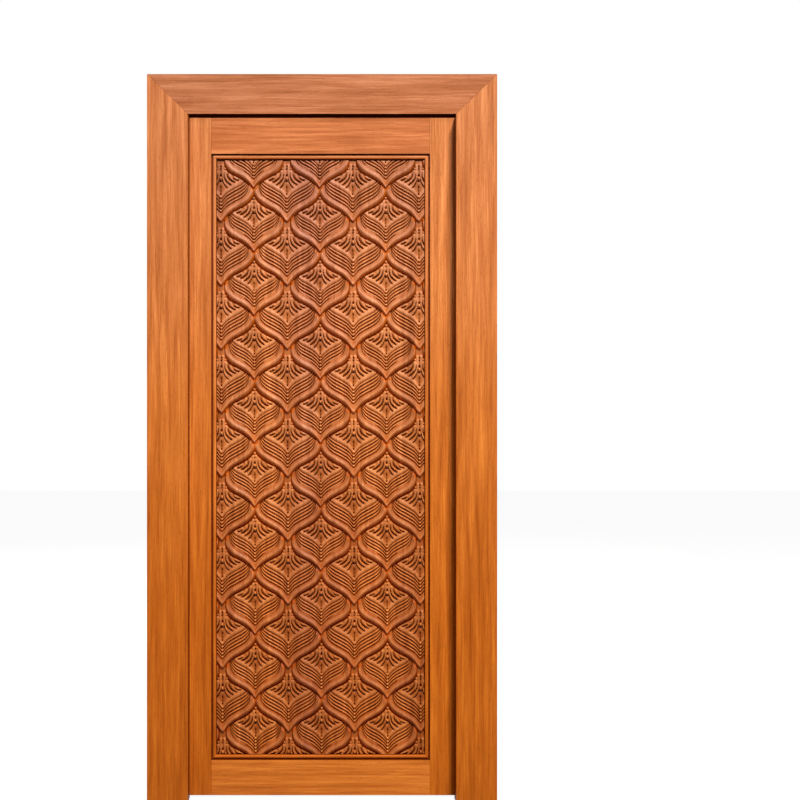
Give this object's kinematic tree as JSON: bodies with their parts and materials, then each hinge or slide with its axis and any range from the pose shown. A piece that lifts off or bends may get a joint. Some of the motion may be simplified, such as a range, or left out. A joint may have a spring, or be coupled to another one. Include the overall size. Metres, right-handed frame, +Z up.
{
  "type": "door",
  "caption": "Teak door in a mitred rebated frame; the framed leaf has a carved ogee-lattice panel set in beads and swings on butt hinges.",
  "frame": {"origin": "middle of the bounding box at floor level", "axes": "+Z up, +X to the right seen from the front, +Y from the front to the back"},
  "size_m": [1.037, 0.1124, 2.1603],
  "materials": {
    "teak": "satin varnish",
    "brass": "satin",
    "steel": "plain"
  },
  "bodies": {
    "frame": {"hinge_post": "teak", "lock_post": "teak", "head": "teak", "mitre_tenon_left": "teak", "mitre_tenon_right": "teak", "frame_flap_bottom": "brass", "frame_flap_middle": "brass", "frame_flap_top": "brass", "hinge_pin_bottom": "brass", "hinge_pin_middle": "brass", "hinge_pin_top": "brass", "frame_hinge_screws": "steel"},
    "leaf": {"hinge_stile": "teak", "lock_stile": "teak", "top_rail": "teak", "bottom_rail": "teak", "carved_panel": "teak", "front_bead_bottom": "teak", "front_bead_left": "teak", "front_bead_top": "teak", "front_bead_right": "teak", "back_bead_bottom": "teak", "back_bead_left": "teak", "back_bead_top": "teak", "back_bead_right": "teak", "door_flap_bottom": "brass", "door_flap_middle": "brass", "door_flap_top": "brass", "door_hinge_screws": "steel"}
  },
  "joints": [
    {"name": "leaf_swing", "type": "hinge", "parent": "frame", "child": "leaf", "pos_m": [-0.408, 0.05025, 1.03], "axis": [0, 0, 1], "range_deg": [0, 110]}
  ]
}
